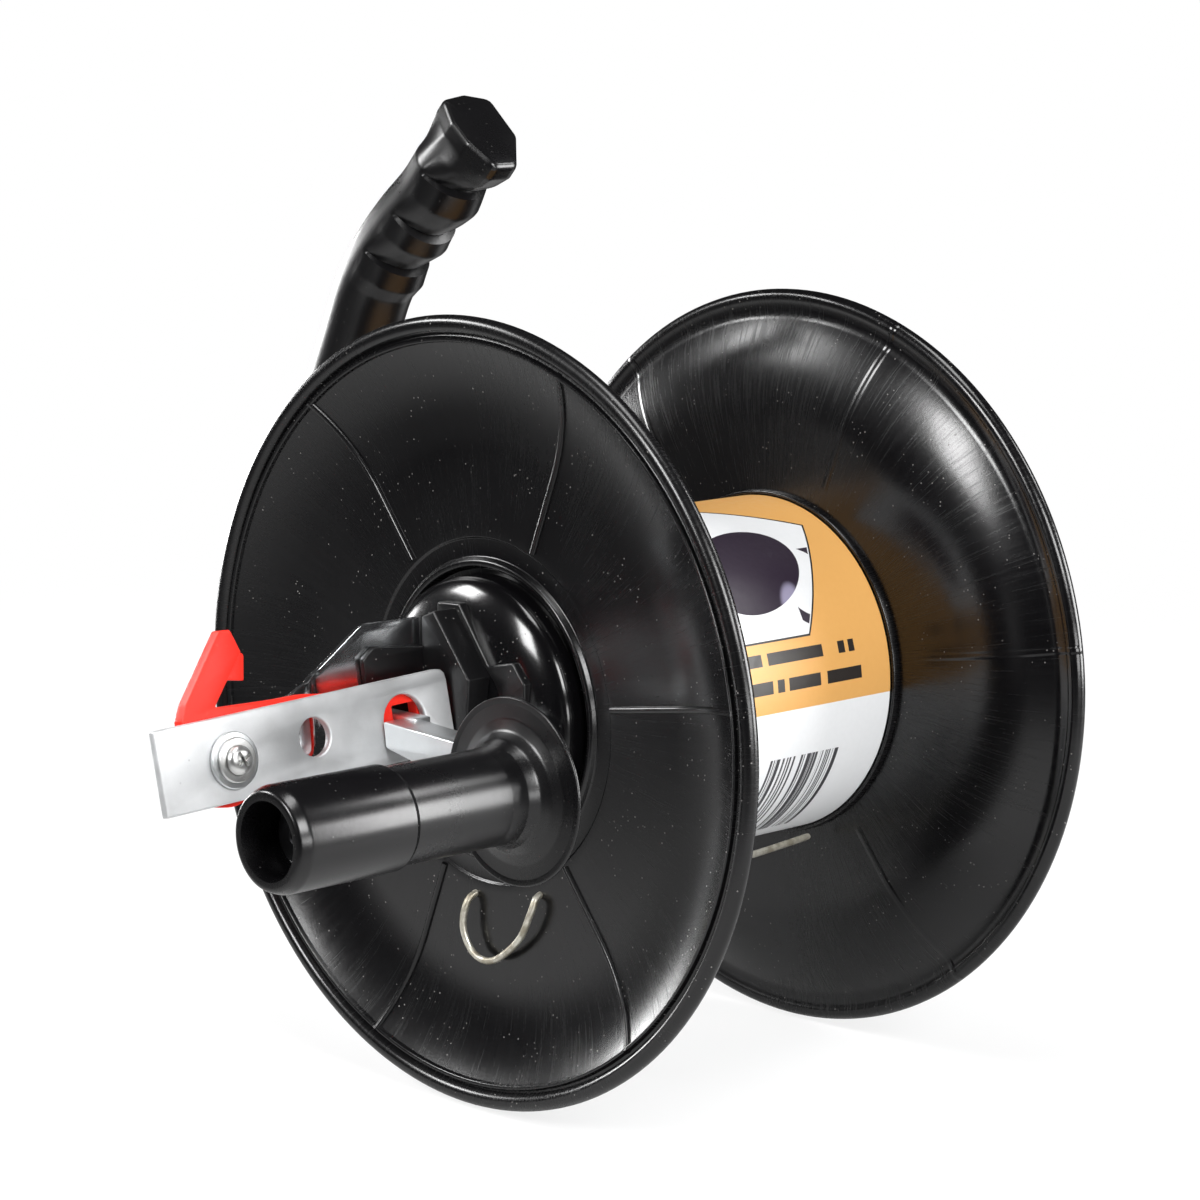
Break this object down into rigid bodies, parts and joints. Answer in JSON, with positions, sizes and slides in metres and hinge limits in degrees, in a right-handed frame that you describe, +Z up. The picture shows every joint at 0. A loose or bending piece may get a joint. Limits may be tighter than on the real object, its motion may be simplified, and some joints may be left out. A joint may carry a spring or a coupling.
{
  "type": "hand-cranked wire reel",
  "caption": "Hand-held winding reel: flanged plastic spool on an axle, side arm with pistol grip, crank with turning knob, and a pivoting latch lever.",
  "frame": {"origin": "on the reel's axis, at the outer flat face of the side arm's boss", "axes": "+X along the reel's axis, out of the arm's boss and away from the crank; +Z up; +Y toward the back of the side arm"},
  "size_m": [0.3361, 0.3258, 0.3355],
  "materials": {
    "black_plastic": "satin moulded polypropylene",
    "gloss_black": "glossy moulded plastic",
    "grip_plastic": "satin moulded plastic",
    "knob_plastic": "semi-gloss moulded plastic",
    "label_paper": "printed label, satin varnish",
    "zinc": "zinc plated, matt",
    "bright_zinc": "bright zinc plated",
    "steel": "bright steel",
    "red_plastic": "moulded nylon",
    "bronze": "sintered bearing bronze",
    "nylon": "natural nylon",
    "wire": "weathered galvanised wire"
  },
  "bodies": {
    "frame": {"frame_arm": "black_plastic", "pistol_grip": "grip_plastic", "grip_screw": "steel", "axle": "steel", "axle_pin": "steel", "thrust_washer": "nylon", "axle_washer": "zinc", "axle_nut": "zinc"},
    "spool": {"near_flange": "black_plastic", "far_flange": "black_plastic", "drum": "black_plastic", "label_sleeve": "label_paper", "hub_cap": "gloss_black", "near_bushing": "bronze", "far_bushing": "bronze", "tie_bolt_1": "steel", "tie_bolt_2": "steel", "tie_bolt_3": "steel", "tie_nut_1": "steel", "tie_nut_2": "steel", "tie_nut_3": "steel", "crank_block": "black_plastic", "hook_plate": "zinc", "rear_strap": "bright_zinc", "latch_washer": "bright_zinc", "lock_washer": "bright_zinc", "latch_screw": "steel", "latch_nut": "zinc", "crank_arm": "bright_zinc", "arm_pin": "steel", "knob_spindle": "steel", "spindle_nut": "zinc", "tie_wire": "wire"},
    "knob": {"crank_knob": "knob_plastic"},
    "latch": {"latch_lever": "red_plastic"}
  },
  "joints": [
    {"name": "spool_spin", "type": "hinge", "parent": "frame", "child": "spool", "pos_m": [0, 0, 0], "axis": [1, 0, 0], "continuous": true},
    {"name": "knob_spin", "type": "hinge", "parent": "spool", "child": "knob", "pos_m": [-0.2871, -0.0761, -0.0065], "axis": [1, 0, 0], "continuous": true},
    {"name": "latch_pivot", "type": "hinge", "parent": "spool", "child": "latch", "pos_m": [-0.2964, 0, 0], "axis": [0, -0.9829, 0.184], "range_deg": [0, 8.5]}
  ]
}
